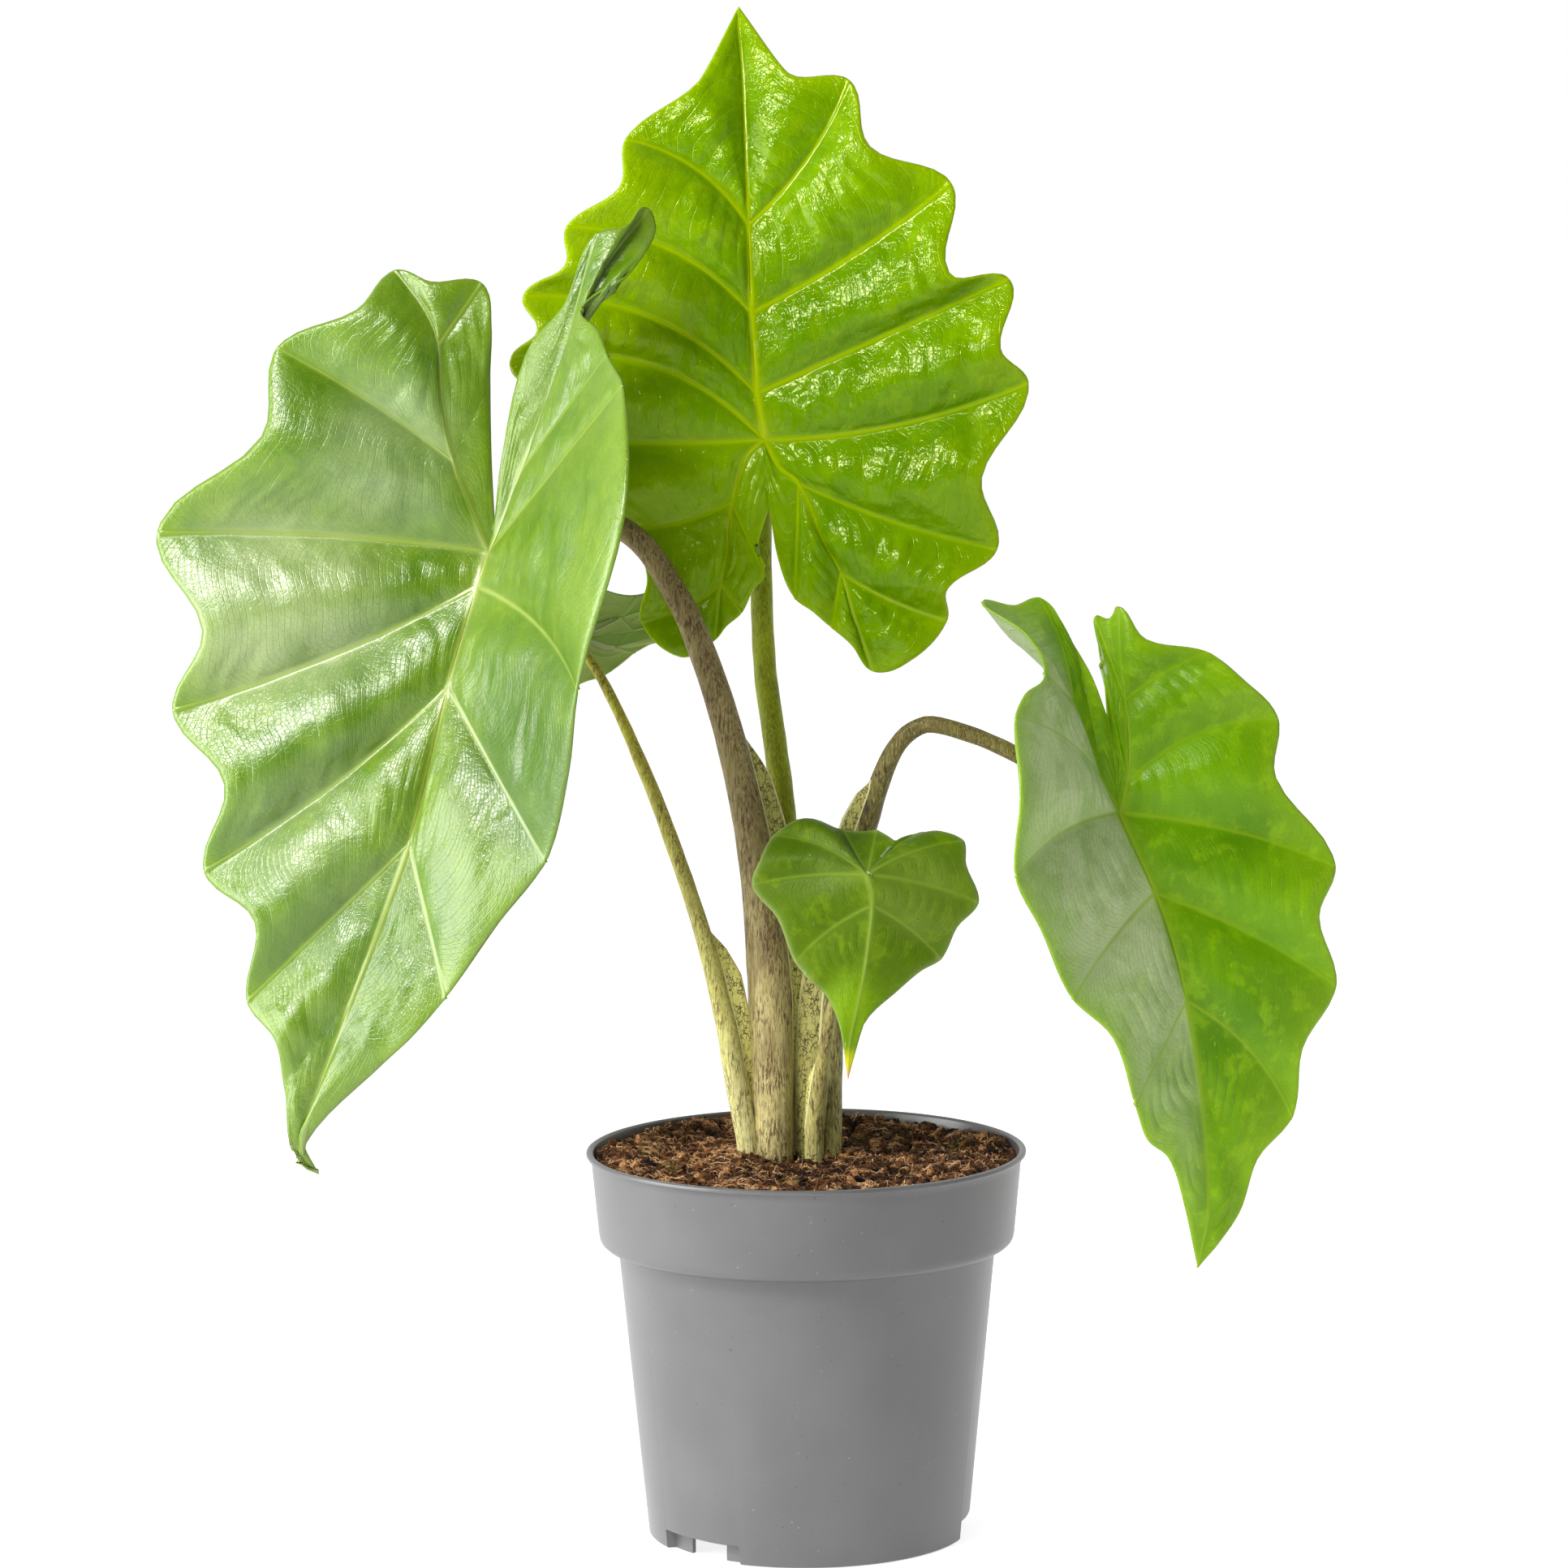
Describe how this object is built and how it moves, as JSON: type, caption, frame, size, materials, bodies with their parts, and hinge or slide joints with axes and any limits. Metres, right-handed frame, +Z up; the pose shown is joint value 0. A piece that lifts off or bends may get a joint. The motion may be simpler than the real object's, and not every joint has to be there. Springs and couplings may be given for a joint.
{
  "type": "potted_alocasia",
  "caption": "Potted alocasia with large lobed, wavy-edged leaves on mottled stalks, standing in soil in a grey plastic grower's pot with a broad collar and drain holes.",
  "frame": {"origin": "centre of the pot's underside, on the surface that the pot stands on", "axes": "+Z up through the pot's axis, +X to the right and +Y away from the viewer who sees the small front leaf in the middle"},
  "size_m": [0.5039, 0.1989, 0.6569],
  "materials": {
    "pot_plastic": "satin grey injection-moulded plastic",
    "soil": "crumbly brown peat and coir fibre",
    "stalk_green": "yellow-green stalk with brown mottling",
    "stalk_brown": "tan-brown stalk with fine brown mottling",
    "leaf_bright": "glossy yellow-green leaf with paler veins",
    "leaf_green": "satin mid-green leaf with paler veins",
    "leaf_dark": "satin dark green leaf with paler veins"
  },
  "bodies": {
    "root": {"pot": "pot_plastic", "soil": "soil", "petiole_top": "stalk_green", "petiole_left": "stalk_brown", "petiole_right": "stalk_brown", "petiole_front": "stalk_green", "petiole_rear": "stalk_green", "leaf_top": "leaf_bright", "leaf_left": "leaf_green", "leaf_right": "leaf_green", "leaf_front": "leaf_dark", "leaf_rear": "leaf_dark"}
  },
  "joints": []
}
